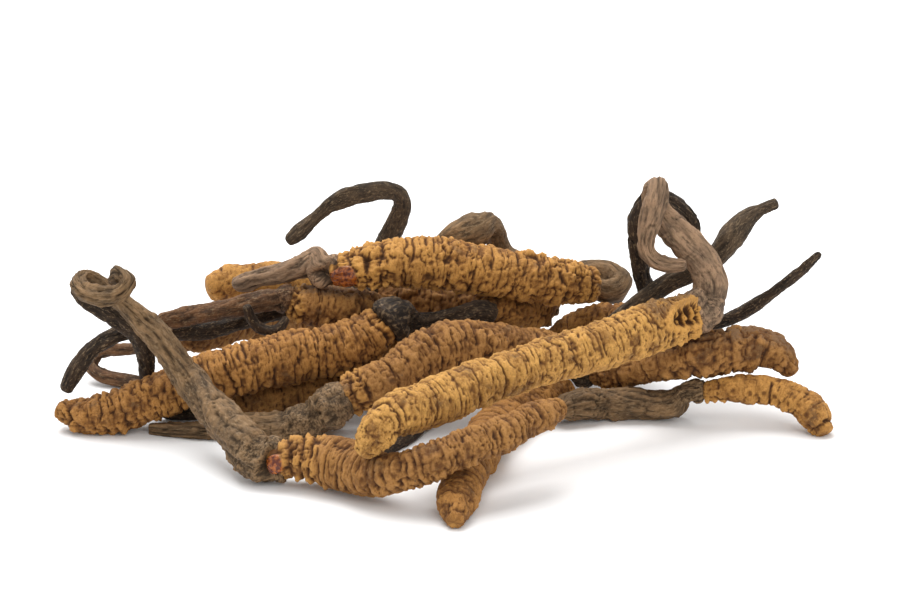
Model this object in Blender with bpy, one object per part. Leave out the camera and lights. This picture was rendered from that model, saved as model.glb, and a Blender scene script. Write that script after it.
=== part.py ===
"""Dried cordyceps: a loose bundle of larva husks with the fungus stalks grown from their heads.

Each piece is a tube lofted along a smooth route. Routes are in millimetres: x to the right, y away
from the front, z up. Every point of a route gives x, y, z and the half width of the piece there.
"""

import math

import bmesh
import bpy
from mathutils import Vector

MM = 0.001
HUSK_SIDES = 10
STALK_SIDES = 8
HUSK_STEP = 2.2
STALK_STEP = 1.7
ROUND_END = 0.45
FLATTENING = 0.3  # how far the lowest husks are pressed flat where they bear on the ground

UP = Vector((0, 0, 1))
FRONT = Vector((0, -1, 0))

HUSK_GOLD = (0.50, 0.27, 0.08)
HUSK_BROWN = (0.33, 0.16, 0.05)
STALK_GREY = (0.13, 0.095, 0.065)
STALK_DARK = (0.05, 0.036, 0.026)
DRY_ROUGHNESS = 0.75

# name, colour, thickness as a share of the width, route
HUSKS = (
    ("long_front_husk", HUSK_GOLD, 0.98, (
        (-9.4, -33.4, 7.3, 1.1), (-8.6, -32.6, 8.6, 1.7), (-6.6, -30.8, 10.3, 2.4),
        (-2.0, -26.5, 10.6, 2.6), (4.0, -21.5, 11.3, 2.6), (11.0, -16.5, 11.9, 2.6),
        (18.0, -12.0, 12.6, 2.7), (24.0, -7.8, 13.4, 2.8), (27.5, -5.6, 13.8, 2.6),
        (29.0, -4.6, 14.1, 2.0))),
    ("top_husk", HUSK_GOLD, 0.95, (
        (-13.5, 4.0, 16.0, 1.8), (-11.0, 4.0, 16.5, 2.6), (-7.0, 4.5, 16.9, 3.0),
        (-2.0, 5.0, 16.9, 3.1), (3.0, 5.5, 16.1, 3.0), (8.0, 6.5, 14.9, 2.9), (13.0, 7.5, 13.8, 2.6),
        (16.9, 8.8, 12.9, 2.1))),
    ("left_husk", HUSK_BROWN, 0.95, (
        (-45.5, -8.0, 3.0, 1.0), (-43.0, -8.5, 2.4, 2.0), (-39.5, -8.5, 2.7, 2.4),
        (-35.0, -8.0, 4.4, 2.6), (-30.0, -7.0, 5.9, 2.8), (-25.0, -6.0, 7.2, 3.0),
        (-19.0, -4.5, 8.2, 3.1), (-13.0, -3.0, 8.9, 3.1), (-9.5, -2.0, 10.1, 3.0),
        (-7.4, -1.1, 11.6, 2.5))),
    ("middle_husk", HUSK_BROWN, 0.95, (
        (-14.0, -10.5, 4.1, 2.2), (-11.0, -10.0, 5.7, 2.5), (-7.0, -9.0, 7.2, 2.6),
        (-3.5, -7.0, 9.1, 2.8), (1.0, -4.5, 9.9, 2.8), (6.0, -2.0, 9.1, 2.5), (10.5, 0.0, 7.6, 2.4),
        (13.5, 2.0, 6.8, 1.7))),
    ("low_front_husk", HUSK_BROWN, 0.95, (
        (-19.5, -25.5, 3.4, 2.0), (-16.5, -26.0, 3.8, 2.6), (-12.0, -28.0, 3.9, 2.7),
        (-8.5, -31.0, 3.8, 2.5), (-5.4, -33.0, 4.9, 2.2), (-1.6, -33.6, 6.4, 2.1),
        (2.2, -32.4, 7.5, 1.9), (6.0, -29.8, 8.2, 1.8), (9.8, -26.8, 9.0, 1.7), (12.0, -25.0, 9.4, 1.3))),
    ("stub_husk", HUSK_BROWN, 0.95, (
        (0.5, -39.0, 1.6, 1.1), (0.8, -35.0, 2.2, 2.1), (1.6, -28.0, 2.5, 2.3),
        (2.8, -22.0, 2.7, 2.5), (4.6, -15.0, 2.8, 2.5), (7.5, -8.0, 2.7, 2.4),
        (11.0, -3.0, 2.6, 2.2), (13.5, 0.0, 2.4, 1.6))),
    ("right_upper_husk", HUSK_BROWN, 0.95, (
        (16.4, 1.0, 4.3, 1.2), (17.8, 0.4, 4.6, 1.7), (20.3, -0.8, 5.4, 2.0), (23.0, -2.0, 6.4, 2.2),
        (25.6, -3.2, 7.4, 2.5), (28.7, -4.0, 8.4, 2.6), (32.2, -4.0, 8.9, 2.6), (35.4, -3.5, 9.1, 2.5),
        (37.8, -3.5, 8.7, 2.1), (39.3, -4.0, 7.7, 1.6), (40.1, -4.2, 6.4, 0.9))),
    ("right_lower_husk", HUSK_BROWN, 0.95, (
        (43.4, -10.0, 1.2, 1.2), (42.5, -9.0, 2.7, 1.8), (40.5, -7.5, 3.9, 1.9), (37.5, -6.5, 4.8, 1.7),
        (34.0, -6.2, 5.0, 1.6), (31.0, -5.9, 4.8, 1.4), (28.9, -5.4, 4.5, 1.0))),
    ("far_back_husk", HUSK_GOLD, 0.95, (
        (-29.5, 19.0, 9.3, 1.5), (-27.5, 19.5, 9.7, 2.3), (-23.5, 20.0, 9.7, 2.5),
        (-18.5, 20.5, 9.4, 2.4), (-13.5, 20.5, 9.5, 2.1), (-11.2, 20.5, 10.0, 1.4))),
    ("hanging_husk", HUSK_BROWN, 0.95, (
        (3.1, 6.0, 11.2, 1.1), (4.7, 6.8, 10.7, 1.8), (7.0, 8.2, 9.9, 2.2), (9.0, 10.4, 9.2, 2.2),
        (10.7, 12.8, 8.7, 2.1), (11.9, 15.6, 8.4, 1.5))),
    ("spotted_husk", HUSK_BROWN, 0.95, (
        (-19.6, 4.0, 12.8, 1.4), (-18.1, 4.4, 12.1, 2.3), (-15.5, 5.0, 11.5, 2.7),
        (-12.5, 5.6, 11.0, 2.5), (-10.1, 6.4, 10.8, 2.2), (-8.4, 7.0, 10.6, 1.6))),
    ("back_left_husk", HUSK_BROWN, 0.95, (
        (-33.2, 5.6, 8.2, 1.2), (-31.5, 7.2, 7.1, 1.9), (-28.5, 10.5, 6.5, 2.2),
        (-25.5, 14.0, 6.6, 2.3), (-22.0, 18.0, 4.9, 2.2), (-19.0, 21.5, 3.2, 1.9),
        (-17.5, 23.2, 1.7, 1.3))),
    ("back_right_husk", HUSK_GOLD, 0.95, (
        (12.0, 14.0, 3.5, 1.5), (13.7, 13.0, 4.8, 2.1), (17.0, 11.0, 7.1, 2.3), (19.9, 9.5, 8.2, 2.2),
        (22.9, 8.0, 9.0, 1.7))),
    ("under_left_husk", HUSK_BROWN, 0.95, (
        (-26.5, -3.5, 1.9, 1.5), (-24.5, -3.0, 2.3, 2.0), (-20.5, -2.0, 2.6, 2.2),
        (-16.0, -1.0, 2.9, 2.3), (-12.5, 0.8, 4.2, 2.3), (-8.5, 3.2, 6.0, 2.3), (-5.0, 4.6, 7.6, 2.1),
        (-2.6, 5.6, 8.6, 1.3))),
    ("under_middle_husk", HUSK_BROWN, 0.95, (
        (-3.5, -8.0, 1.8, 1.2), (-2.8, -5.0, 2.3, 1.9), (-1.2, 0.0, 2.6, 2.3),
        (0.8, 5.0, 2.7, 2.3), (3.0, 10.0, 2.6, 2.1), (4.5, 13.5, 2.3, 1.3))),
    ("inner_back_husk", HUSK_BROWN, 0.95, (
        (-9.4, 11.5, 11.3, 1.2), (-7.9, 11.5, 10.8, 1.9), (-5.8, 11.5, 10.3, 2.3),
        (-3.0, 11.8, 9.7, 2.4), (0.0, 12.0, 9.3, 2.4), (3.4, 12.4, 9.3, 2.1), (5.6, 12.8, 9.6, 1.5))),
)

STALKS = (
    ("front_left_stalk", STALK_GREY, 0.85, FRONT, (
        (-21.8, -25.0, 3.6, 2.1), (-23.1, -23.6, 4.6, 2.3), (-25.0, -20.0, 5.5, 2.2),
        (-27.7, -15.5, 6.7, 1.9), (-30.3, -12.5, 8.8, 1.6), (-34.0, -11.0, 13.5, 1.4),
        (-36.0, -10.2, 15.3, 1.2), (-37.9, -9.4, 16.8, 1.0), (-39.4, -8.8, 18.1, 0.9),
        (-40.8, -8.8, 19.2, 0.9), (-42.1, -10.0, 19.9, 0.9), (-42.2, -11.8, 19.4, 0.9),
        (-41.2, -13.2, 18.9, 0.9), (-39.5, -14.0, 18.9, 1.0), (-38.0, -14.0, 18.9, 1.0),
        (-36.7, -13.8, 19.6, 0.9), (-36.4, -13.2, 20.6, 0.9), (-37.3, -12.2, 21.0, 0.9),
        (-38.1, -11.2, 19.8, 0.8))),
    ("top_stalk", STALK_GREY, 0.85, FRONT, (
        (-15.5, 4.3, 16.5, 1.6), (-15.2, 4.7, 17.2, 1.8), (-16.2, 5.0, 16.9, 1.5),
        (-18.0, 5.4, 16.2, 1.2), (-20.4, 6.0, 15.3, 1.1), (-23.0, 7.0, 14.4, 1.1),
        (-24.8, 8.0, 13.4, 1.0), (-25.7, 8.6, 13.0, 0.7))),
    ("left_husk_stalk", STALK_DARK, 0.8, FRONT, (
        (-5.4, 0.2, 12.2, 1.2), (-4.5, 1.0, 11.1, 1.3), (-3.0, 1.9, 10.5, 1.2), (-0.8, 2.2, 10.8, 1.1),
        (1.5, 2.2, 11.5, 1.1), (3.6, 2.8, 11.7, 1.1), (5.0, 3.4, 11.0, 1.1))),
    ("budded_stalk", STALK_GREY, 0.85, FRONT, (
        (12.4, 18.4, 9.3, 1.1), (13.9, 18.6, 10.5, 1.2), (16.0, 17.8, 11.6, 1.4),
        (18.4, 16.8, 12.0, 1.5), (20.2, 15.4, 11.7, 1.7), (20.8, 14.0, 10.9, 1.6),
        (19.2, 12.9, 10.7, 1.4), (16.7, 12.5, 11.6, 1.2), (12.7, 12.2, 13.1, 1.2),
        (9.1, 12.4, 14.3, 1.1), (6.8, 13.6, 14.7, 1.2), (5.8, 14.0, 16.3, 1.2), (5.3, 13.2, 18.2, 1.3),
        (4.3, 12.0, 19.6, 1.5), (3.0, 10.8, 19.2, 2.0), (1.3, 10.4, 18.6, 1.8), (-0.4, 10.2, 18.1, 1.3),
        (-1.4, 10.2, 17.6, 0.8))),
    ("middle_stalk", STALK_GREY, 0.8, UP, (
        (-16.2, -11.0, 2.9, 1.8), (-18.0, -11.2, 2.4, 2.1), (-21.0, -11.0, 2.1, 1.8),
        (-24.5, -10.5, 1.8, 1.5), (-28.0, -10.6, 1.5, 1.2), (-31.5, -10.0, 1.3, 1.0),
        (-34.6, -8.9, 1.1, 0.8))),
    ("knotted_stalk", STALK_GREY, 0.85, FRONT, (
        (30.2, -2.7, 15.4, 1.7), (30.3, -2.2, 17.3, 1.8), (29.1, -2.2, 19.9, 1.7),
        (27.7, -2.0, 21.3, 1.7), (26.4, -1.8, 22.7, 1.6), (25.2, -1.4, 24.0, 1.4),
        (24.2, -1.0, 25.2, 1.2), (23.6, -0.8, 26.5, 1.0), (23.6, -1.8, 27.9, 1.0),
        (24.1, -3.0, 28.5, 1.2), (23.8, -4.0, 27.2, 1.3), (23.3, -4.2, 25.6, 1.3),
        (22.9, -4.2, 23.8, 1.2), (22.7, -4.0, 22.0, 1.0), (23.2, -3.9, 20.5, 0.8),
        (24.5, -4.4, 19.8, 0.8), (25.8, -5.0, 19.8, 0.8), (27.1, -5.2, 19.9, 0.6))),
    ("looped_stalk", STALK_DARK, 0.75, FRONT, (
        (24.1, 7.4, 11.0, 1.0), (23.6, 6.4, 12.8, 1.0), (22.8, 5.2, 15.3, 1.0), (22.4, 4.0, 18.1, 1.1),
        (22.0, 3.0, 21.0, 1.1), (22.1, 2.8, 23.5, 1.1), (22.9, 3.0, 25.0, 1.0), (24.2, 3.1, 26.0, 0.9),
        (25.6, 2.8, 25.4, 0.9), (26.8, 2.0, 24.8, 0.9), (27.9, 1.4, 23.8, 0.9), (28.6, 1.2, 22.2, 0.9),
        (28.8, 1.2, 20.9, 0.6))),
    ("blunt_right_stalk", STALK_DARK, 0.85, FRONT, (
        (15.3, 2.6, 4.5, 1.1), (15.2, 3.6, 5.7, 1.2), (16.7, 3.8, 7.2, 1.2), (18.7, 3.6, 8.8, 1.2),
        (21.4, 3.4, 11.4, 1.1), (24.3, 3.0, 13.9, 1.1), (27.2, 2.6, 15.9, 1.1), (29.8, 2.6, 17.0, 1.1),
        (31.1, 2.6, 18.2, 1.2), (32.1, 2.6, 19.4, 1.3), (33.0, 2.6, 20.7, 1.5), (34.1, 2.8, 22.1, 1.4),
        (35.4, 3.0, 23.4, 1.0), (36.9, 3.0, 24.3, 0.7), (38.3, 3.0, 24.9, 0.6))),
    ("thin_right_stalk", STALK_DARK, 0.85, FRONT, (
        (18.2, 4.0, 2.2, 0.8), (22.0, 4.0, 4.5, 0.8), (26.5, 5.0, 7.0, 0.8), (30.5, 4.5, 9.0, 0.7),
        (34.5, 3.5, 11.0, 0.7), (38.5, 3.0, 14.0, 0.6), (41.5, 2.8, 16.6, 0.5),
        (43.6, 2.6, 18.8, 0.3))),
    ("right_floor_stalk", STALK_GREY, 0.85, UP, (
        (27.5, -5.2, 4.0, 1.1), (26.8, -4.9, 2.9, 1.7), (24.0, -4.3, 2.4, 1.9), (20.5, -4.2, 2.5, 2.1),
        (17.0, -4.5, 2.7, 2.0), (14.0, -5.9, 2.8, 1.8), (12.6, -7.1, 2.7, 1.1))),
    ("ribbon_stalk", STALK_GREY, 0.55, FRONT, (
        (-9.7, 20.3, 10.8, 1.1), (-9.0, 19.8, 11.3, 1.2), (-8.5, 19.0, 13.6, 1.2),
        (-7.6, 18.0, 15.9, 1.2), (-6.5, 17.2, 18.3, 1.1), (-5.7, 16.4, 20.6, 1.0),
        (-6.2, 15.4, 22.3, 1.0), (-7.7, 14.2, 23.2, 1.1), (-9.9, 13.0, 23.3, 1.1),
        (-12.3, 12.0, 23.1, 1.1), (-14.3, 11.2, 22.3, 0.8), (-15.8, 10.6, 21.2, 0.6),
        (-17.4, 9.8, 19.9, 0.8), (-18.7, 9.0, 18.9, 1.0), (-19.3, 8.6, 18.5, 0.6))),
    ("arching_left_stalk", STALK_DARK, 0.9, FRONT, (
        (-10.9, 11.5, 11.3, 1.0), (-12.7, 11.2, 10.5, 1.0), (-18.1, 10.2, 9.5, 0.9),
        (-20.5, 8.0, 9.9, 0.9), (-24.5, 5.5, 9.5, 0.9), (-29.0, 2.5, 9.3, 0.9),
        (-33.5, -0.5, 10.2, 0.9), (-37.8, -3.0, 11.0, 0.9), (-41.4, -4.6, 9.7, 0.9),
        (-43.6, -5.2, 7.1, 0.9), (-45.0, -5.4, 4.6, 0.6))),
    ("ribbed_stalk", STALK_DARK, 0.85, FRONT, (
        (-20.9, 3.6, 12.8, 1.1), (-22.8, 3.2, 12.6, 1.1), (-25.5, 2.4, 12.2, 1.1),
        (-28.9, 0.8, 12.0, 1.0), (-31.7, -1.2, 12.0, 1.0), (-33.9, -3.2, 12.2, 0.8))),
    ("hairpin_stalk", STALK_GREY, 0.85, UP, (
        (-34.9, 4.9, 8.6, 1.0), (-35.8, 5.9, 7.4, 0.9), (-36.6, 7.4, 5.9, 0.8), (-38.5, 9.0, 4.7, 0.8),
        (-42.0, 10.0, 4.1, 0.8), (-43.6, 9.2, 2.9, 0.7), (-42.0, 7.6, 1.8, 0.8), (-38.0, 6.6, 1.4, 0.8),
        (-34.5, 5.8, 1.2, 0.5))),
    ("leaning_stalk", STALK_DARK, 0.85, FRONT, (
        (-28.1, -4.0, 1.8, 1.0), (-30.5, -4.4, 1.6, 0.9), (-33.8, -4.6, 2.2, 0.9),
        (-35.3, -4.0, 5.6, 0.9), (-35.4, -4.6, 8.4, 0.9), (-35.9, -5.4, 10.7, 1.0),
        (-37.0, -6.2, 12.7, 1.1), (-38.8, -6.6, 14.1, 1.1), (-40.7, -6.8, 15.4, 1.0),
        (-42.3, -7.0, 16.6, 0.9), (-43.1, -7.3, 17.8, 0.7))),
    ("under_middle_stalk", STALK_DARK, 0.7, UP, (
        (-3.9, -9.4, 1.5, 0.9), (-5.2, -12.5, 1.2, 1.0), (-7.2, -16.0, 1.0, 0.6))),
    ("hooked_thread_stalk", STALK_DARK, 0.85, FRONT, (
        (-23.9, -0.2, 13.1, 0.5), (-23.5, 0.4, 11.5, 0.5), (-22.5, 0.6, 10.2, 0.5),
        (-21.0, 0.8, 9.8, 0.5), (-20.0, 1.0, 10.2, 0.5), (-19.3, 1.4, 11.1, 0.4))),
)


def smooth_route(points, step):
    """Points every `step` along a Catmull-Rom curve through the route, as (place, half width)."""
    padded = [points[0]] + list(points) + [points[-1]]
    fine = []
    for first, second, third, fourth in zip(padded, padded[1:], padded[2:], padded[3:]):
        for part in range(12):
            t = part / 12
            fine.append([
                0.5 * (2 * b + (c - a) * t + (2 * a - 5 * b + 4 * c - d) * t * t
                       + (3 * b - a - 3 * c + d) * t * t * t)
                for a, b, c, d in zip(first, second, third, fourth)])
    fine.append(list(points[-1]))
    places = [Vector(row[:3]) for row in fine]
    travelled = [0.0]
    for here, there in zip(places, places[1:]):
        travelled.append(travelled[-1] + (there - here).length)
    count = max(3, round(travelled[-1] / step))
    route = []
    index = 0
    for number in range(count + 1):
        target = travelled[-1] * number / count
        while index < len(fine) - 2 and travelled[index + 1] < target:
            index += 1
        share = (target - travelled[index]) / (travelled[index + 1] - travelled[index])
        place = places[index].lerp(places[index + 1], share)
        width = fine[index][3] + (fine[index + 1][3] - fine[index][3]) * share
        route.append((place, width))
    return route


def tube(name, colour, thickness, face, points, sides, step):
    """One closed solid along a route, with rounded ends. `face` is the way its flat side looks."""
    route = smooth_route(points, step)
    shell = bmesh.new()
    rings = []
    for number, (place, width) in enumerate(route):
        before = route[max(number - 1, 0)][0]
        after = route[min(number + 1, len(route) - 1)][0]
        along = (after - before).normalized()
        across = along.cross(face).normalized()
        normal = across.cross(along)
        ring = []
        for side in range(sides):
            turn = math.tau * side / sides
            offset = across * math.cos(turn) + normal * math.sin(turn) * thickness
            ring.append(shell.verts.new((place + offset * width) * MM))
        rings.append(ring)
    for ring, following in zip(rings, rings[1:]):
        for side in range(sides):
            other = (side + 1) % sides
            shell.faces.new((ring[side], following[side], following[other], ring[other]))
    for ring, (end, width), (inner, _) in (
            (rings[0], route[0], route[1]), (rings[-1], route[-1], route[-2])):
        outward = (end - inner).normalized()
        pole = shell.verts.new((end + outward * width * ROUND_END) * MM)
        for side in range(sides):
            shell.faces.new((ring[side], ring[(side + 1) % sides], pole))
    bmesh.ops.recalc_face_normals(shell, faces=shell.faces)
    mesh = bpy.data.meshes.new(name)
    shell.to_mesh(mesh)
    shell.free()
    piece = bpy.data.objects.new(name, mesh)
    bpy.context.scene.collection.objects.link(piece)
    mesh.materials.append(dry_material(name, colour))
    return piece


def dry_material(name, colour):
    material = bpy.data.materials.new(name)
    material.use_nodes = True
    shader = material.node_tree.nodes["Principled BSDF"]
    shader.inputs["Base Color"].default_value = (*colour, 1)
    shader.inputs["Roughness"].default_value = DRY_ROUGHNESS
    shader.inputs["Metallic"].default_value = 0
    return material


def centre_on_the_ground():
    """Moves the bundle so that the bottom centre of its box is the origin, pressed a little flat there."""
    meshes = [piece.data for piece in bpy.data.objects]
    corners = [vertex.co for mesh in meshes for vertex in mesh.vertices]
    low = [min(corner[axis] for corner in corners) for axis in range(3)]
    high = [max(corner[axis] for corner in corners) for axis in range(3)]
    shift = Vector((-(low[0] + high[0]) / 2, -(low[1] + high[1]) / 2, -low[2] - FLATTENING * MM))
    for mesh in meshes:
        for vertex in mesh.vertices:
            vertex.co += shift
            vertex.co.z = max(vertex.co.z, 0)


def main():
    for thing in list(bpy.data.objects):
        bpy.data.objects.remove(thing)
    for name, colour, thickness, points in HUSKS:
        tube(name, colour, thickness, UP, points, HUSK_SIDES, HUSK_STEP)
    for name, colour, thickness, face, points in STALKS:
        tube(name, colour, thickness, face, points, STALK_SIDES, STALK_STEP)
    centre_on_the_ground()


main()
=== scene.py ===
import math

import bpy
import numpy as np
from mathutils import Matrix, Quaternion, Vector


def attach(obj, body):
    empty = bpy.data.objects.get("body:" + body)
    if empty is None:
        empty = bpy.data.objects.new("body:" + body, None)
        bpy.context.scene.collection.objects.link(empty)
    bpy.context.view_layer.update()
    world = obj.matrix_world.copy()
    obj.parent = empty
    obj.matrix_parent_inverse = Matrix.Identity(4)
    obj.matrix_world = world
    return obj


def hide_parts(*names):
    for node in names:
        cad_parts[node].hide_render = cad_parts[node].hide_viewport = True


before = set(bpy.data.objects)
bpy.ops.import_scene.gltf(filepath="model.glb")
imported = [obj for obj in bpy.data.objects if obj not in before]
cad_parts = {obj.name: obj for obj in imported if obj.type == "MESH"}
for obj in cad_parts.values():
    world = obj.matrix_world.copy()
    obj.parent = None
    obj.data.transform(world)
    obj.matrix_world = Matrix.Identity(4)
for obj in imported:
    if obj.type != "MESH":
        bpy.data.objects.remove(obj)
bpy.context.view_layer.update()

bl_info = {
    "name": "Dried cordyceps bundle",
    "version": (1, 0, 0),
    "blender": (4, 5, 0),
    "location": "View3D > Sidebar > Cordyceps",
    "description": "Grows the wrinkled husks and fibrous stalks of a dried bundle over its plain solids",
    "category": "Add Mesh",
}

MM = 0.001
AIM = (0.00074, 0.00765, 0.0134)
FLOOR_HALF = 2.0
HUSK_COLUMNS = 114
STALK_COLUMNS = (28, 64)
SIDES = (8, 10)  # corners round the plain tubes
WELD = 0.004  # mm within which two points of a solid are one
GROUND_GAP = 0.03  # mm between the lowest skin and the floor
SPIRACLES = 8  # down each flank
TEAR_SEED = 91

# Legs down each side of a husk: share of its length, angle from its back, radius and height in mm
SMALL_LEGS = [(share, 2.45, 0.32, 0.5) for share in (0.10, 0.15, 0.20)]
ROUND_FEET = [(share, 2.2, 0.48, 0.36) for share in (0.40, 0.48, 0.56, 0.64, 0.93)]

# Rings of a collar: share of its reach over the head, width against the husk there
COLLAR_RINGS = ((1.0, 0.86), (0.72, 1.04), (0.3, 1.1))

# Lamps: place in metres, share of the light power
LAMP_SIZE = 0.5
LAMPS = {"overhead_light": ((-0.12, 0.22, 0.55), 1.0), "front_light": ((0.25, -0.6, 0.5), 0.35)}

# Husks: stalk on its head, tone, mesh detail, length in mm of the puffed yellow rings behind the head,
# gap between its rings in mm, strength of its rings, strength of its lumps and grain, seed
HUSKS = {
    "long_front_husk": ("knotted_stalk", "pale", 1.0, 5.5, 1.0, 0.6, 0.7, 11),
    "top_husk": ("top_stalk", "golden", 1.0, 7.5, 1.1, 0.9, 1.0, 12),
    "left_husk": ("left_husk_stalk", "rust", 1.0, 3.0, 1.0, 1.05, 0.95, 13),
    "middle_husk": ("middle_stalk", "brown", 1.0, 6.0, 0.95, 0.85, 1.3, 14),
    "low_front_husk": ("front_left_stalk", "brown", 1.0, 7.0, 0.85, 0.9, 0.55, 15),
    "stub_husk": (None, "rust", 0.85, 0.0, 1.2, 0.6, 0.6, 16),
    "right_upper_husk": ("blunt_right_stalk", "brown", 0.85, 0.0, 1.3, 0.45, 1.1, 17),
    "right_lower_husk": ("right_floor_stalk", "golden", 0.85, 0.0, 1.2, 0.4, 0.35, 18),
    "far_back_husk": ("ribbon_stalk", "golden", 0.6, 0.0, 1.2, 0.25, 0.3, 19),
    "hanging_husk": ("budded_stalk", "rust", 0.8, 0.0, 1.2, 0.6, 1.3, 20),
    "spotted_husk": ("ribbed_stalk", "brown", 0.85, 2.6, 1.1, 0.8, 1.4, 21),
    "back_left_husk": ("hairpin_stalk", "brown", 0.6, 0.0, 1.1, 0.6, 0.8, 22),
    "back_right_husk": ("looped_stalk", "rust", 0.75, 0.0, 0.9, 0.7, 1.2, 23),
    "under_left_husk": ("leaning_stalk", "brown", 0.7, 0.0, 1.0, 0.7, 0.9, 24),
    "under_middle_husk": ("under_middle_stalk", "brown", 0.6, 0.0, 1.0, 0.7, 0.9, 25),
    "inner_back_husk": ("arching_left_stalk", "brown", 0.7, 0.0, 1.0, 0.7, 1.1, 26),
}

# Stalks: tone, mesh detail, depth of its furrows against the usual one, how much its foot swells in mm,
# how far the foot reaches over the husk's head in mm, seed
STALKS = {
    "front_left_stalk": ("grey", 1.0, 1.1, 0.35, 1.6, 41),
    "top_stalk": ("pinkish", 1.0, 0.7, 0.1, 1.2, 42),
    "left_husk_stalk": ("dark", 0.8, 0.8, 0.3, 1.6, 43),
    "budded_stalk": ("grey", 0.8, 0.7, 0.1, 1.0, 44),
    "middle_stalk": ("grey", 1.0, 1.0, 0.75, 3.4, 45),
    "knotted_stalk": ("pinkish", 1.0, 0.8, 0.2, 2.0, 46),
    "looped_stalk": ("dark", 1.0, 0.8, 0.1, 1.0, 47),
    "blunt_right_stalk": ("olive", 0.9, 0.6, 0.1, 1.0, 48),
    "thin_right_stalk": ("dark", 0.8, 0.4, 0.0, 0.0, 49),
    "right_floor_stalk": ("grey", 0.9, 0.9, 0.2, 1.2, 50),
    "ribbon_stalk": ("olive", 0.9, 0.45, 0.1, 1.0, 51),
    "arching_left_stalk": ("dark", 0.9, 0.7, 0.1, 1.0, 52),
    "ribbed_stalk": ("reddish", 0.8, 0.9, 0.1, 1.0, 53),
    "hairpin_stalk": ("reddish", 0.6, 0.6, 0.1, 1.0, 54),
    "leaning_stalk": ("dark", 0.8, 0.8, 0.1, 1.0, 55),
    "under_middle_stalk": ("dark", 0.6, 0.6, 0.1, 1.0, 56),
    "hooked_thread_stalk": ("dark", 0.6, 0.5, 0.0, 0.0, 57),
}

# Glossy amber heads: mm from the head's tip, the way it faces, its radius in mm
HEADS = {
    "top_husk": (1.5, (0.0, -1.0, -0.15), 1.9),
    "low_front_husk": (1.1, (-0.2, -1.0, 0.1), 1.25),
}

# Where the long front husk is torn open: mm from its tip, the way it faces, length and width in mm
TEARS = {"long_front_husk": (3.3, (0.15, -1.0, 0.35), 6.8, 3.1)}

# Husks with stalk tissue crept over their upper side: how far it reaches from the head in mm
BARKED = {"long_front_husk": 9.5, "right_upper_husk": 26.0, "middle_husk": 5.0, "spotted_husk": 12.0}

FRONT_HUSKS = ("long_front_husk", "low_front_husk", "stub_husk")
MIDDLE_HUSKS = ("top_husk", "left_husk", "middle_husk", "spotted_husk", "hanging_husk")
RIGHT_HUSKS = ("right_upper_husk", "right_lower_husk")
HIDDEN_HUSKS = ("far_back_husk", "back_left_husk", "back_right_husk", "under_left_husk",
                "under_middle_husk", "inner_back_husk")
LEFT_STALKS = ("front_left_stalk", "arching_left_stalk", "hairpin_stalk", "leaning_stalk",
               "ribbed_stalk", "hooked_thread_stalk")
TOP_STALKS = ("top_stalk", "ribbon_stalk", "budded_stalk")
RIGHT_STALKS = ("knotted_stalk", "looped_stalk", "blunt_right_stalk", "thin_right_stalk")
GROUND_STALKS = ("middle_stalk", "left_husk_stalk", "right_floor_stalk", "under_middle_stalk")


# Noise, in numpy


def lattice(cell, seed):
    """A fixed random number from -1 to 1 for each whole-number cell."""
    mixed = (cell[..., 0] * 374761393 + cell[..., 1] * 668265263
             + cell[..., 2] * 2147483647 + seed * 144665)
    mixed = (mixed ^ (mixed >> 13)) * 1274126177
    mixed = mixed ^ (mixed >> 16)
    return (mixed & 65535) / 32767.5 - 1


def noise(places, seed):
    """Smooth noise from about -1 to 1, one cell to a unit."""
    cell = np.floor(places).astype(np.int64)
    part = places - cell
    part = part * part * part * (part * (part * 6 - 15) + 10)
    total = 0
    for corner in range(8):
        step = np.array([corner & 1, corner >> 1 & 1, corner >> 2])
        weight = np.prod(np.where(step, part, 1 - part), axis=-1)
        total = total + weight * lattice(cell + step, seed)
    return total


def layered(places, seed, layers=3):
    """Noise with finer and fainter noise added to it."""
    total = 0
    for layer in range(layers):
        total = total + noise(places * 2.1 ** layer + 17.3 * layer, seed + layer) * 0.5 ** layer
    return total


def rise(value, low, high):
    """0 below low, 1 above high, smooth between."""
    share = np.clip((value - low) / (high - low), 0, 1)
    return share * share * (3 - 2 * share)


def ridge(distance, width):
    """1 at no distance, falling away over about that width."""
    return np.exp(-(distance / width) ** 2)


# The plain solids, read back as rings


def linked_points(node):
    """The solid's welded points in millimetres, and each point's neighbours."""
    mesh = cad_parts[node].data
    mesh.calc_loop_triangles()
    points = np.empty(len(mesh.vertices) * 3)
    mesh.vertices.foreach_get("co", points)
    points = points.reshape(-1, 3) / MM
    corners = np.empty(len(mesh.loop_triangles) * 3, np.int32)
    mesh.loop_triangles.foreach_get("vertices", corners)
    _, first, index = np.unique(
        np.round(points / WELD).astype(np.int64), axis=0, return_index=True, return_inverse=True)
    triangles = index.reshape(-1)[corners].reshape(-1, 3)
    near = [set() for _ in first]
    for one, two, three in triangles.tolist():
        near[one] |= {two, three}
        near[two] |= {one, three}
        near[three] |= {one, two}
    return points[first], near


def levels_from(start, near):
    """Points grouped by how many steps they are from the start."""
    seen = {start}
    levels = [[start]]
    while levels[-1]:
        following = {other for point in levels[-1] for other in near[point]} - seen
        seen |= following
        levels.append(sorted(following))
    return levels[:-1]


def in_order(level, near):
    """A ring's points in the order in which they go round it."""
    inside = set(level)
    ring = [level[0]]
    while len(ring) < len(level):
        onward = sorted((near[ring[-1]] & inside) - set(ring))
        ring.append(onward[0])
    return ring


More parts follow.
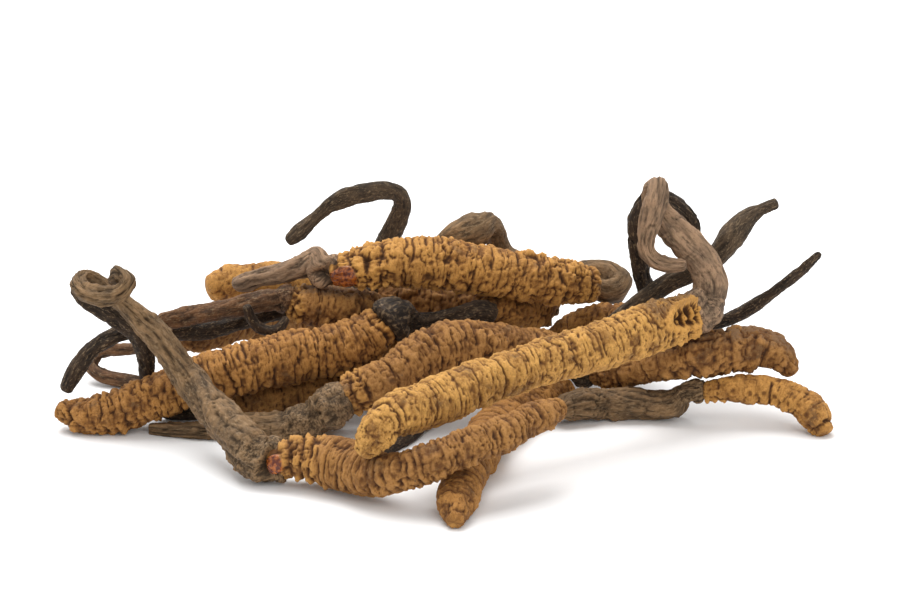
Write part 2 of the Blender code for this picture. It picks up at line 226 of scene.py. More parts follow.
def rings_of(node):
    """(pole, rings, pole) of a tube: its two end points, and its rings lined up with each other."""
    points, near = linked_points(node)
    for start in range(len(points)):
        sides = len(near[start])
        levels = levels_from(start, near) if sides in SIDES else []
        if len(levels) > 3 and len(levels[-1]) == 1 and all(len(row) == sides for row in levels[1:-1]):
            break
    else:
        raise RuntimeError(f"{node} isn't a tube of rings")
    rings = []
    for level in levels[1:-1]:
        ring = points[in_order(level, near)]
        if rings:
            choices = [np.roll(turned, shift, axis=0)
                       for turned in (ring, ring[::-1]) for shift in range(sides)]
            flat = rings[-1] - rings[-1].mean(0)
            ring = min(choices, key=lambda choice: ((choice - choice.mean(0) - flat) ** 2).sum())
        rings.append(ring)
    return points[start], np.array(rings), points[levels[-1][0]]


def turned_round(tube):
    return tube[2], tube[1][::-1], tube[0]


TUBES = {node: rings_of(node) for node in list(HUSKS) + list(STALKS)}


def joined_ends(husk, stalk):
    """Both tubes, each starting at the neck between them."""
    pairs = [(turned_round(one) if flip_one else one, turned_round(two) if flip_two else two)
             for one in [TUBES[husk]] for two in [TUBES[stalk]]
             for flip_one in (False, True) for flip_two in (False, True)]
    return min(pairs, key=lambda pair: np.linalg.norm(pair[0][0] - pair[1][0]))


for husk_name, husk_facts in HUSKS.items():
    if husk_facts[0]:
        TUBES[husk_name], TUBES[husk_facts[0]] = joined_ends(husk_name, husk_facts[0])
NECKS = {facts[0]: name for name, facts in HUSKS.items() if facts[0]}


# Fine skins over the rings


def spline(values, where):
    """Catmull-Rom through rows of values, at places counted in rows."""
    last = len(values) - 1
    index = np.clip(np.floor(where).astype(int), 0, last - 1)
    part = (where - index).reshape((-1,) + (1,) * (values.ndim - 1))
    before = values[np.maximum(index - 1, 0)]
    here = values[index]
    there = values[index + 1]
    after = values[np.minimum(index + 2, last)]
    return 0.5 * (2 * here + (there - before) * part
                  + (2 * before - 5 * here + 4 * there - after) * part ** 2
                  + (3 * here - before - 3 * there + after) * part ** 3)


def rounder(rings, count):
    """The same rings with more points, on the smoothest closed line through the few."""
    waves = np.fft.rfft(rings, axis=1)
    sides = rings.shape[1]
    waves[:, sides // 2] *= 0.5
    return np.fft.irfft(waves, count, axis=1) * count / sides


class Skin:
    """A fine grid over a tube: rows along it, columns round it, all in millimetres."""

    def __init__(self, tube, step, around):
        start, rings, end = tube
        centres = rings.mean(axis=1)
        lengths = np.linalg.norm(np.diff(centres, axis=0), axis=1)
        travelled = np.concatenate([[0], np.cumsum(lengths)])
        rows = max(12, int(travelled[-1] / step))
        where = np.interp(np.linspace(0, travelled[-1], rows), travelled, np.arange(len(rings)))
        fine = rounder(rings, around)
        body = spline(fine, where)
        spine = spline(centres, where)
        caps = []
        for ring, centre, tip in ((body[0], spine[0], start), (body[-1], spine[-1], end)):
            reach = np.linalg.norm(tip - centre)
            width = np.linalg.norm(ring - centre, axis=1).mean()
            count = max(5, int((reach + width) / step / 1.4))
            angle = np.linspace(0, math.pi / 2, count + 2)[1:-1, None, None]
            cap = centre + (tip - centre) * np.cos(angle) + (ring - centre) * np.sin(angle)
            caps.append((cap, centre + (tip - centre) * np.cos(angle[:, :, 0])))
        self.base = np.concatenate([caps[0][0], body, caps[1][0][::-1]])
        self.spine = np.concatenate([caps[0][1], spine, caps[1][1][::-1]])
        steps = np.linalg.norm(np.diff(self.spine, axis=0), axis=1)
        travel = np.concatenate([[0], np.cumsum(steps)])
        self.length = travel[-1]
        self.along = (travel + np.linalg.norm(self.spine[0] - start))[:, None] * np.ones((1, around))
        outward = self.base - self.spine[:, None]
        width = np.linalg.norm(outward, axis=2)
        self.thick = np.median(width[len(caps[0][0]):-len(caps[1][0])])
        run = np.gradient(self.base, axis=0)
        turn = (np.roll(self.base, -1, axis=1) - np.roll(self.base, 1, axis=1)) / 2
        normal = np.cross(turn, run)
        normal /= np.linalg.norm(normal, axis=2, keepdims=True) + 1e-12
        facing = np.sign((normal * outward).sum(axis=2, keepdims=True).sum())
        self.normal = normal * facing
        self.facing = facing
        heading = np.gradient(self.spine, axis=0)
        heading /= np.linalg.norm(heading, axis=1, keepdims=True) + 1e-12
        up = np.array([0, 0, 1]) - heading * heading[:, 2:3]
        up /= np.linalg.norm(up, axis=1, keepdims=True) + 1e-12
        side = np.cross(heading, up)
        self.frames = (side, up)
        self.angle = np.arctan2((outward * side[:, None]).sum(axis=2), (outward * up[:, None]).sum(axis=2))
        self.turn = np.arange(around) * math.tau / around + np.zeros((len(self.base), 1))
        self.notes = {}

    def straight(self):
        """Each point as if the tube were straightened out: across, across, along."""
        return np.stack([np.cos(self.turn) * self.thick,
                         np.sin(self.turn) * self.thick, self.along], axis=2)

    def spot(self, along, direction, stretch=1.0):
        """Distance in mm over the surface from the place that far along, on the side that faces that way."""
        side, up = self.frames
        facing = np.arctan2(side @ np.array(direction), up @ np.array(direction))[:, None]
        off = ((self.angle - facing + math.pi) % math.tau - math.pi) * self.thick
        return np.hypot((self.along - along) / stretch, off)

    def hollows(self, relief, reach):
        """How far each point lies below the mean of its neighbours within about that reach, in mm."""
        rows = max(1, int(reach / np.median(np.diff(self.along[:, 0]))))
        columns = max(1, int(reach / (math.tau * self.thick / relief.shape[1])))
        mean = relief
        for _ in range(2):
            padded = np.pad(mean, ((rows + 1, rows), (0, 0)), mode="edge")
            sums = np.cumsum(padded, axis=0)
            mean = (sums[2 * rows + 1:] - sums[:-2 * rows - 1]) / (2 * rows + 1)
            padded = np.pad(mean, ((0, 0), (columns + 1, columns)), mode="wrap")
            sums = np.cumsum(padded, axis=1)
            mean = (sums[:, 2 * columns + 1:] - sums[:, :-2 * columns - 1]) / (2 * columns + 1)
        return mean - relief

    def end_fade(self, reach):
        """0 at both tips, 1 further in than the reach."""
        from_end = self.length - self.along
        return rise(self.along, 0, reach) * rise(from_end, 0, reach)

    def raised(self, relief):
        """The grid pushed out along its normals, and nowhere below the ground."""
        places = self.base + self.normal * relief[:, :, None]
        places[:, :, 2] = np.maximum(places[:, :, 2], GROUND_GAP)
        return places

    def piece(self, name, places, material):
        """A mesh object of the grid with its notes as attributes, standing for the solid of that name."""
        rows, around = places.shape[:2]
        tips = [places[0].mean(axis=0), places[-1].mean(axis=0)]
        points = np.concatenate([places.reshape(-1, 3), tips]) * MM
        index = np.arange(rows * around).reshape(rows, around)
        following = np.roll(index, -1, axis=1)
        quads = np.stack([index[:-1], index[1:], following[1:], following[:-1]], axis=-1).reshape(-1, 4)
        if self.facing > 0:
            quads = quads[:, ::-1]
        first = np.stack([following[0], index[0], np.full(around, rows * around)], axis=-1)
        final = np.stack([index[-1], following[-1], np.full(around, rows * around + 1)], axis=-1)
        fans = np.concatenate([first, final])
        if self.facing < 0:
            fans = fans[:, ::-1]
        mesh = bpy.data.meshes.new(name)
        mesh.from_pydata(points, [], quads.tolist() + fans.tolist())
        mesh.polygons.foreach_set("use_smooth", np.ones(len(mesh.polygons), bool))
        for note, values in self.notes.items():
            kind = "FLOAT_VECTOR" if values.ndim == 3 else "FLOAT"
            ends = [values[0].mean(axis=0), values[-1].mean(axis=0)]
            flat = np.concatenate([values.reshape((rows * around,) + values.shape[2:]), ends])
            attribute = mesh.attributes.new(note, kind, "POINT")
            attribute.data.foreach_set("vector" if values.ndim == 3 else "value", flat.ravel())
        mesh.update()
        mesh.materials.append(material)
        thing = bpy.data.objects.new(name + "_skin", mesh)
        bpy.context.scene.collection.objects.link(thing)
        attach(thing, "root")
        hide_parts(name)
        return thing


# The husk: rings of folded skin, legs and a hard head


def line_places(length, gap, dice):
    """Places along the husk about a gap apart, from before its head to past its tail."""
    count = int(length / gap) + 4
    return -1.5 + np.cumsum(gap * dice.uniform(0.7, 1.3, count))


def between_lines(lines, where):
    """(number of the line before, how far past it, how far short of the next)"""
    index = np.clip(np.searchsorted(lines, where) - 1, 0, len(lines) - 2)
    return index, where - lines[index], lines[index + 1] - where


def broken(skin, index, times, seed):
    """From 0 to about 1.2, changing round the husk and from one line to the next."""
    field = np.stack([np.cos(skin.turn) * times, np.sin(skin.turn) * times, index * 3.17], axis=2)
    return np.clip(0.6 + 0.75 * noise(field, seed), 0, 1.2)


def cut_lines(skin, lines, where, width, times, seed):
    """Narrow cuts along the lines, broken here and there."""
    index, behind, ahead = between_lines(lines, where)
    return (ridge(behind, width) * broken(skin, index, times, seed)
            + ridge(ahead, width) * broken(skin, index + 1, times, seed))


def rounded(lines, where, power):
    """1 on most of the way between two lines, 0 on them."""
    _, behind, ahead = between_lines(lines, where)
    return np.sin(math.pi * np.clip(behind / (behind + ahead), 0, 1)) ** power


def creased(field, seed):
    """Rounded folds, 1 on their tops, with sharp creases of 0 between them."""
    return np.minimum(np.abs(noise(field, seed)) * 2.4, 1) ** 0.6


def husk_relief(skin, settings, name, facts):
    """How far each point of a husk stands proud of its plain tube, with notes for its colours."""
    stalk, _, _, puffed, gap, rings, roughness, seed = facts
    dice = np.random.default_rng(seed)
    straight = skin.straight()
    drift = (0.5 * noise(straight * 0.3, seed) + 0.25 * noise(straight * 0.8, seed + 1)
             + 0.1 * noise(straight * 2.2, seed + 2))
    where = skin.along + drift
    warp = np.stack([noise(straight * 0.9 + shift, seed + 8) for shift in (0, 31, 67)], axis=2)
    waves = straight + 0.4 * warp
    rough = roughness * (0.5 + 0.8 * rise(noise(straight * 0.2, seed + 22), -0.5, 0.5))
    segments = line_places(skin.length, 5.0, dice)
    folds = line_places(skin.length, gap, dice)
    puffs = line_places(skin.length, 1.7, dice)
    puffy = rise(puffed - skin.along + 0.8 * noise(straight * 0.4, seed + 3), -0.4, 0.6)
    pleats = creased(waves * [0.26, 0.26, 1.5 / gap], seed + 21)
    shape = 0.14 * rounded(segments, where, 0.5) + 0.08 * rings * rounded(folds, where, 0.7)
    shape = shape - 0.3 * cut_lines(skin, segments, where, 0.09, 1.3, seed + 4)
    shape = shape - 0.12 * rings * cut_lines(skin, folds, where, 0.09, 1.5, seed + 5) + 0.3 * rings * pleats
    puff = puff_relief(skin, puffs, where, straight, seed)
    relief = shape * (1 - puffy) + puff * puffy
    wrinkles = creased(waves * [0.6, 0.6, 2.7], seed + 9) * rise(noise(straight * 0.6, seed + 10), -0.7, 0.1)
    network = creased(waves * [1.1, 1.1, 1.7], seed + 11)
    knots = rise(noise(waves * 0.95, seed + 12), 0.1, 0.8)
    pits = rise(noise(waves * [1.1, 1.1, 1.5], seed + 13), 0.45, 0.8)
    grain = layered(straight * 2.9, seed + 14, 3)
    lumps = noise(straight * 0.27, seed + 15) + 0.5 * noise(straight * 0.6, seed + 16)
    flakes = rise(noise(waves * [0.9, 0.9, 1.3], seed + 17), 0.25, 0.34) * rise(rough, 0.6, 1.2)
    relief = 1.2 * relief + 0.14 * wrinkles + 0.2 * network * (0.2 + rough)
    relief = relief + 0.3 * np.maximum(rough - 0.3, 0) * knots
    relief = relief - 0.3 * np.maximum(rough - 0.5, 0) * pits + 0.08 * flakes
    relief = relief + settings.grain_height / MM * (0.6 + rough) * grain + 0.2 * lumps
    relief = relief - relief.mean() + settings.plumpness / MM
    feet, relief = with_feet(skin, relief, straight, dice, seed)
    relief = with_spiracles(skin, relief, dice)
    torn = np.zeros_like(relief)
    bark = np.zeros_like(relief)
    if name in TEARS:
        torn, relief = with_tear(skin, relief, *TEARS[name])
    if name in BARKED:
        bark = rise(BARKED[name] - skin.along + noise(straight * 0.5, seed + 23), 0, 2) * (1 - torn)
        bark = bark * rise(np.cos(skin.angle) + 0.2 * noise(straight * 0.7, seed + 25), 0.5, 0.85)
    head = np.zeros_like(relief)
    if name in HEADS:
        along, direction, radius = HEADS[name]
        distance = skin.spot(along, direction) + 0.3 * noise(straight * 1.2, seed + 19)
        head = rise(radius - distance, -0.15, 0.2)
        beads = noise(straight * 1.9, seed + 20)
        relief = relief * (1 - head) + head * (0.15 + 0.2 * beads)
    if stalk:
        covered = rise(STALKS[stalk][4] + 0.4 - skin.along, 0, 0.7) * (1 - head)
        relief = relief * (1 - covered) - 0.4 * covered
    relief = relief * skin.end_fade(0.8)
    # hollow and crest steer the painted shade in the hollows and the painted highlight on the crests
    hollows = 0.75 * skin.hollows(relief, 0.35) + 0.4 * skin.hollows(relief, 1.1)
    skin.notes = {
        "hollow": np.clip(hollows / settings.dark_depth * MM, 0, 1),
        "crest": np.clip(-hollows / settings.dark_depth * MM, 0, 1),
        "puffed": np.clip(puffy * rise(relief, -0.3, 0.1) + 0.6 * feet, 0, 1),
        "torn": torn,
        "bark": bark,
        "head": head,
        "straight": straight,
    }
    return relief


def puff_relief(skin, puffs, where, straight, seed):
    """Granular swollen rings with wide gaps, broken up into lobes."""
    index, _, _ = between_lines(puffs, where)
    lobe_field = np.stack([np.cos(skin.turn) * 2.6, np.sin(skin.turn) * 2.6, index * 4.7], axis=2)
    lobes = noise(lobe_field + 0.5 * noise(straight * 1.1, seed + 26)[:, :, None], seed + 6)
    crumbs = layered(straight * 1.3, seed + 24, 3)
    nuggets = creased(straight * [1.0, 1.0, 1.15], seed + 27)
    puff = 0.34 * rounded(puffs, where + 0.25 * crumbs, 0.7) * (0.9 + 0.7 * lobes) - 0.25
    puff = puff + 0.2 * crumbs + 0.22 * nuggets
    return puff - 0.22 * cut_lines(skin, puffs, where, 0.2, 1.6, seed + 7) - 0.14 * ridge(lobes, 0.1)


def with_feet(skin, relief, straight, dice, seed):
    """The relief with the small legs near the head and the round feet along the belly."""
    feet = 0
    wobble = 1 + 0.25 * noise(straight * 1.3, seed + 18)
    for share, angle, radius, height in SMALL_LEGS + ROUND_FEET:
        for side in (-1, 1):
            turn = side * angle * dice.uniform(0.92, 1.08)
            off = np.abs((skin.angle - turn + math.pi) % math.tau - math.pi) * skin.thick
            distance = np.hypot(skin.along - share * skin.length, off) * wobble
            relief = relief + height * ridge(distance, radius) - 0.5 * height * ridge(distance, radius * 0.4)
            relief = relief - 0.14 * ridge(distance - radius * 1.8, 0.15)
            feet = feet + 0.3 * ridge(distance - radius * 0.5, radius * 0.5)
    return feet, relief


def with_spiracles(skin, relief, dice):
    """The relief with the breathing holes down the flanks, each in a few rings of fine folds."""
    for share in np.linspace(0.16, 0.86, SPIRACLES):
        for side in (-1, 1):
            along = share * skin.length + dice.uniform(-0.4, 0.4)
            turn = side * dice.uniform(1.25, 1.6)
            off = np.abs((skin.angle - turn + math.pi) % math.tau - math.pi) * skin.thick
            distance = np.hypot(skin.along - along, off)
            near = np.exp(-distance / 0.8)
            relief = relief * (1 - 0.6 * ridge(distance, 0.8)) + 0.1 * ridge(distance, 0.7)
            relief = relief + 0.09 * np.cos(distance * 13) * near - 0.25 * ridge(distance, 0.16)
    return relief


def with_tear(skin, relief, along, direction, length, width):
    """(how torn, relief) where the skin has burst open into ribbed hollows with thick yellow lips."""
    distance = skin.spot(along, direction, length / width) / (width / 2)
    distance = distance * (1 + 0.16 * noise(skin.straight() * 0.9, TEAR_SEED))
    inside = rise(distance, 1.0, 0.72)
    lip = ridge(distance - 1.12, 0.22)
    crumbs = layered(skin.straight() * 1.7, TEAR_SEED + 2, 3)
    ribs = 0.5 + 0.5 * np.cos((skin.along - along + 0.3 * crumbs) * math.tau / 1.15)
    relief = relief * (1 - 0.5 * inside) + (0.28 + 0.26 * crumbs) * lip
    relief = relief - inside * (1.15 - 0.75 * ribs ** 2 - 0.2 * crumbs)
    return np.clip(inside + 0.75 * lip, 0, 1), relief


def stalk_relief(skin, settings, name, facts):
    """How far each point of a stalk stands proud of its plain tube, with notes for its colours."""
    _, _, furrow_share, swell, reach, seed = facts
    thick = skin.thick
    straight = skin.straight()
    twist = skin.turn + 0.05 * skin.along + 0.6 * noise(straight * [0.1, 0.1, 0.12], seed)
    fibre = np.stack([np.cos(twist) * thick * 1.6, np.sin(twist) * thick * 1.6, skin.along * 0.2], axis=2)
    broad = np.stack([np.cos(twist) * 1.2, np.sin(twist) * 1.2, skin.along * 0.08], axis=2)
    furrows = ridge(noise(fibre, seed + 1), 0.17)
    fine = layered(fibre * [2.2, 2.2, 2.6], seed + 2, 2)
    folds = noise(broad, seed + 3)
    creases = ridge(noise(straight * [0.35, 0.35, 1.1], seed + 4), 0.07)
    creases = creases * rise(noise(straight * 0.5, seed + 5), 0.0, 0.5)
    lumps = noise(straight * [0.4, 0.4, 0.33], seed + 6)
    warts = rise(noise(straight * 1.4, seed + 7), 0.35, 0.85)
    grain = noise(straight * 4.6, seed + 8)
    crust = reach + 1.8 + 6 * swell - skin.along + 0.8 * noise(straight * 0.7, seed + 9)
    crust = rise(crust, 0, 1.6) * min(reach, 1)
    cracks = ridge(noise(fibre * [0.7, 0.7, 0.9], seed + 14), 0.07)
    cracks = cracks * rise(noise(straight * 0.35, seed + 15), -0.2, 0.3)
    depth = settings.furrow_depth / MM * furrow_share * min(1.3, 0.5 + 0.42 * thick)
    relief = (-depth * furrows + 0.7 * depth * fine + 1.5 * depth * folds - 0.8 * depth * creases
              + 0.12 * lumps * thick + 0.7 * depth * warts + 0.03 * grain - 1.7 * depth * cracks)
    crumbs = layered(straight * 1.9, seed + 10, 3)
    relief = relief + crust * (0.2 * crumbs + 0.22 * noise(straight * 0.8, seed + 11))
    swelling = swell * ridge(skin.along - reach - 0.6, 2.6)
    relief = relief + swelling * (1 + 0.4 * noise(straight * 0.35, seed + 12))
    if NECKS.get(name) in HEADS:
        _, direction, radius = HEADS[NECKS[name]]
        distance = skin.spot(reach * 0.35, direction) + 0.3 * noise(straight * 1.1, seed + 13)
        relief = relief - 1.6 * rise(radius + 0.3 - distance, 0, 0.7)
    relief = (relief - np.median(relief) + settings.plumpness / MM) * skin.end_fade(0.5)
    # hollow and crest steer the painted shade in the furrows and the painted highlight on the ridges
    hollows = skin.hollows(relief, 0.35)
    skin.notes = {
        "hollow": np.clip(hollows / settings.dark_depth * MM, 0, 1),
        "crest": np.clip(-hollows / settings.dark_depth * MM, 0, 1),
        "crust": crust,
        "straight": straight,
    }
    return relief


def with_collar(stalk, reach):
    """The stalk's rings with more before them, so that its foot closes round the husk's head."""
    start, rings, end = TUBES[stalk]
    if stalk not in NECKS:
        return start, rings, end
    husk_tip, husk_rings, _ = TUBES[NECKS[stalk]]
    centres = np.concatenate([[husk_tip], husk_rings.mean(axis=1)])
    widths = np.linalg.norm(husk_rings - centres[1:, None], axis=2).mean(axis=1)
    widths = np.concatenate([[widths[0] * 0.8], widths])
    travelled = np.concatenate([[0], np.cumsum(np.linalg.norm(np.diff(centres, axis=0), axis=1))])
    foot = rings[0].mean(axis=0)
    foot_width = np.linalg.norm(rings[0] - foot, axis=1).mean()
    heading = rings[1].mean(axis=0) - foot
    flat = (rings[0] - foot) / foot_width
    extra = []
    depths = [(reach * part, share) for part, share in COLLAR_RINGS] + [(-0.1, 1.0)]
    for depth, share in depths:
        place = np.array([np.interp(depth, travelled, axis) for axis in centres.T])
        further = np.array([np.interp(depth + 1, travelled, axis) for axis in centres.T])
        swing = Vector(heading).rotation_difference(Vector(place - further))
        if depth < 0:
            swing = swing.slerp(Quaternion(), 0.5)
        width = np.interp(max(depth, 0), travelled, widths) * share
        if depth < 0:
            width = max(width, foot_width * 1.05)
        extra.append(place + flat @ np.array(swing.to_matrix()).T * width)
    inner = np.array([np.interp(reach + 0.3, travelled, axis) for axis in centres.T])
    return inner, np.concatenate([np.array(extra), rings]), end


# Materials


class Wire:
    """A node's socket that can be used in sums."""

    def __init__(self, recipe, socket):
        self.recipe = recipe
        self.socket = socket

    def sum(self, operation, *values, clamp=False):
        settings = {"operation": operation, "use_clamp": clamp}
        return self.recipe.node("ShaderNodeMath", settings, dict(enumerate(values)))

    def __add__(self, other):
        return self.sum("ADD", self, other)

    def __radd__(self, other):
        return self.sum("ADD", other, self)

    def __sub__(self, other):
        return self.sum("SUBTRACT", self, other)

    def __rsub__(self, other):
        return self.sum("SUBTRACT", other, self)

    def __mul__(self, other):
        return self.sum("MULTIPLY", self, other)

    def __rmul__(self, other):
        return self.sum("MULTIPLY", other, self)

    def clamped(self):
        return self.sum("ADD", self, 0.0, clamp=True)

    def between(self, low, high):
        """0 at low, 1 at high, smooth between and level outside."""
        return self.recipe.node(
            "ShaderNodeMapRange", {"interpolation_type": "SMOOTHSTEP"},
            {"Value": self, "From Min": low, "From Max": high})


class Recipe:
    """A material's nodes, written as expressions."""

    def __init__(self, name):
        self.material = bpy.data.materials.new(name)
        self.material.use_nodes = True
        self.tree = self.material.node_tree
        self.shader = self.tree.nodes["Principled BSDF"]

    def put(self, socket, value):
        if isinstance(value, Wire):
            self.tree.links.new(value.socket, socket)
        elif hasattr(value, "__len__") and len(value) < len(socket.default_value):
            socket.default_value = (*value, 1)
        else:
            socket.default_value = value

    def node(self, kind, settings, inputs, output=0):
        made = self.tree.nodes.new(kind)
        for name, value in settings.items():
            setattr(made, name, value)
        for name, value in inputs.items():
            self.put(made.inputs[name], value)
        return Wire(self, made.outputs[output])

    def note(self, name):
        return self.node("ShaderNodeAttribute", {"attribute_name": name}, {}, "Fac")

    def straightened(self, across, along):
        """The skin's own coordinates, in millimetres along and across the piece."""
        skin = self.node("ShaderNodeAttribute", {"attribute_name": "straight"}, {}, "Vector")
        return self.node("ShaderNodeVectorMath", {"operation": "MULTIPLY"},
                         {0: skin, 1: (across, across, along)})

    def speckle(self, places, scale, detail=3.0, roughness=0.55, distortion=0.0):
        return self.node("ShaderNodeTexNoise", {}, {
            "Vector": places, "Scale": scale, "Detail": detail,
            "Roughness": roughness, "Distortion": distortion})

    def mix(self, share, first, second):
        return self.node("ShaderNodeMix", {"data_type": "RGBA"}, {0: share, 6: first, 7: second}, 2)

    def bump(self, height, strength, distance):
        return self.node("ShaderNodeBump", {}, {
            "Strength": strength, "Distance": distance, "Height": height})


def husk_material(tone, settings):
    """Dry folded skin: mottled tan, painted shade in the hollows and a painted highlight on the crests,
    ochre where it is puffed, amber at the head.
    """
    recipe = Recipe(f"{tone}_husk_skin")
    main = getattr(settings, f"{tone}_colour")
    # Darker and lighter copies of the skin colour: the random patches and mottling below mix them in as real
    # tone, while the wrinkles, the fine grain and the crests use them as painted shade and painted highlight
    shade = tuple(channel * amount for channel, amount in zip(main, (0.4, 0.32, 0.24)))
    light = tuple(min(1, channel * amount) for channel, amount in zip(main, (1.38, 1.45, 1.6)))
    places = recipe.straightened(1.0, 1.0)
    patches = recipe.speckle(places, 0.3, 4, 0.6, 0.5)
    mottle = recipe.speckle(places, 1.3, 4, 0.65, 0.4)
    wrinkles = recipe.speckle(recipe.straightened(0.45, 1.7), 2.6, 4, 0.65, 0.9)
    fine = recipe.speckle(places, 6.0, 3, 0.65)
    dots = recipe.speckle(places, 2.6, 2, 0.5)
    hollow = recipe.note("hollow")
    crest = recipe.note("crest")
    puffed = recipe.note("puffed")
    torn = recipe.note("torn")
    bark = recipe.note("bark")
    head = recipe.note("head")
    colour = recipe.mix(patches.between(0.36, 0.6), shade, main)
    colour = recipe.mix(mottle.between(0.45, 0.68) * 0.5, colour, light)
    # Painted shade in the troughs and painted highlight on the tops of the wrinkles that also raise the bump
    colour = recipe.mix(wrinkles.between(0.47, 0.35) * 0.7, colour, shade)
    colour = recipe.mix(wrinkles.between(0.56, 0.7) * 0.45, colour, light)
    # Painted highlight on the crests of the relief
    colour = recipe.mix(crest * 0.6, colour, light)
    colour = recipe.mix(patches.between(0.42, 0.28) * 0.6, colour, settings.soot_colour)
    colour = recipe.mix(dots.between(0.3, 0.24) * 0.8, colour, settings.soot_colour)
    colour = recipe.mix((puffed * (0.4 + mottle)).clamped() * 0.65, colour, settings.ochre_colour)
    colour = recipe.mix(torn * (0.4 + mottle).clamped(), colour, settings.ochre_colour)
    colour = recipe.mix(bark * mottle.between(0.35, 0.55) * 0.8, colour, settings.bark_colour)
    # Painted highlight on the tops and painted shade in the troughs of the fine grain that also raises the
    # bump
    colour = recipe.mix(fine.between(0.56, 0.7) * 0.45, colour, light)
    colour = recipe.mix(fine.between(0.45, 0.32) * 0.6, colour, shade)
    # Painted shade in the shallow folds and, darker still, at the bottom of the creases
    colour = recipe.mix(hollow.between(0.02, 0.5) * 0.85, colour, settings.fold_colour)
    colour = recipe.mix(hollow.between(0.45, 1.0) * 0.85, colour, settings.crease_colour)
    beads = recipe.speckle(places, 2.2, 3, 0.6, 0.3)
    amber = recipe.mix(beads.between(0.4, 0.62), settings.amber_colour, settings.honey_colour)
    colour = recipe.mix(head, colour, amber)
    recipe.put(recipe.shader.inputs["Base Color"], colour)
    rough = 0.74 - 0.1 * crest + 0.2 * hollow - 0.08 * puffed - 0.4 * head
    recipe.put(recipe.shader.inputs["Roughness"], rough.clamped())
    recipe.put(recipe.shader.inputs["Specular IOR Level"], 0.3)
    recipe.put(recipe.shader.inputs["Coat Weight"], head * 0.45)
    recipe.put(recipe.shader.inputs["Coat Roughness"], 0.15)
    grit = recipe.speckle(places, 8.0, 4, 0.7)
    height = 0.7 * grit + 1.1 * wrinkles + 0.5 * fine
    recipe.put(recipe.shader.inputs["Normal"], recipe.bump(height, 0.9, 0.00022))
    return recipe.material


def stalk_material(tone, settings):
    """Dry fibrous stalk: streaks along its length, painted shade in the furrows, pale flecks and a painted
    highlight on the ridges.
    """
    recipe = Recipe(f"{tone}_stalk_skin")
    main = getattr(settings, f"{tone}_colour")
    # Darker and lighter copies of the stalk colour: the random patches and the crust's grains mix them in as
    # real tone, the streaks and flecks use them partly as painted highlight and painted shade, the crests
    # and furrows wholly
    shade = tuple(channel * 0.24 for channel in main)
    light = tuple(min(1, channel * amount) for channel, amount in zip(main, (1.9, 1.85, 1.75)))
    streaks = recipe.speckle(recipe.straightened(1.0, 0.16), 2.6, 4, 0.6, 0.4)
    flecks = recipe.speckle(recipe.straightened(1.0, 0.3), 6.5, 3, 0.65, 0.5)
    places = recipe.straightened(1.0, 1.0)
    patches = recipe.speckle(places, 0.3, 3, 0.6, 0.5)
    fine = recipe.speckle(places, 5.0, 3, 0.65, 0.3)
    hollow = recipe.note("hollow")
    crest = recipe.note("crest")
    crust = recipe.note("crust")
    colour = recipe.mix(patches.between(0.4, 0.7) * 0.8, main, light)
    colour = recipe.mix(patches.between(0.5, 0.3) * 0.6, colour, shade)
    # Lighter and darker streaks of fibre; the same streaks raise the bump, so this is partly painted
    # highlight and painted shade
    colour = recipe.mix(streaks.between(0.52, 0.7) * 0.65, colour, light)
    colour = recipe.mix(streaks.between(0.48, 0.34) * 0.8, colour, shade)
    colour = recipe.mix(flecks.between(0.54, 0.66) * 0.5, colour, settings.dust_colour)
    # Darker where the flecks sit low in the bump: partly dark fibre, partly painted shade
    colour = recipe.mix(flecks.between(0.46, 0.34) * 0.55, colour, shade)
    # Painted highlight on the crests of the relief
    colour = recipe.mix(crest * 0.5, colour, light)
    grains = crust * fine.between(0.53, 0.62)
    colour = recipe.mix(crust * fine.between(0.5, 0.4) * 0.8, colour, shade)
    colour = recipe.mix(grains * 0.3, colour, settings.dust_colour)
    # Painted shade in the furrows
    colour = recipe.mix((hollow * 0.9).clamped(), colour, shade)
    recipe.put(recipe.shader.inputs["Base Color"], colour)
    rough = 0.6 + 0.2 * patches + 0.12 * hollow - 0.12 * crest
    recipe.put(recipe.shader.inputs["Roughness"], rough.clamped())
    recipe.put(recipe.shader.inputs["Specular IOR Level"], 0.25)
    grit = recipe.speckle(places, 8.0, 3, 0.7)
    height = flecks + 0.8 * streaks + 0.5 * grit
    recipe.put(recipe.shader.inputs["Normal"], recipe.bump(height, 0.9, 0.00022))
    return recipe.material


def material_for(maker, tone, settings):
    """The material of that tone, made once."""
    kept = bpy.data.materials.get(f"{tone}_{maker.__name__.replace('_material', '')}_skin")
    return kept or maker(tone, settings)


# Settings


def colour_setting(name, description, value):
    return bpy.props.FloatVectorProperty(
        name=name, description=description, subtype="COLOR", size=3, min=0, max=1, default=value)


def length_setting(name, description, value):
    return bpy.props.FloatProperty(
        name=name, description=description, unit="LENGTH", precision=5, min=0, default=value)


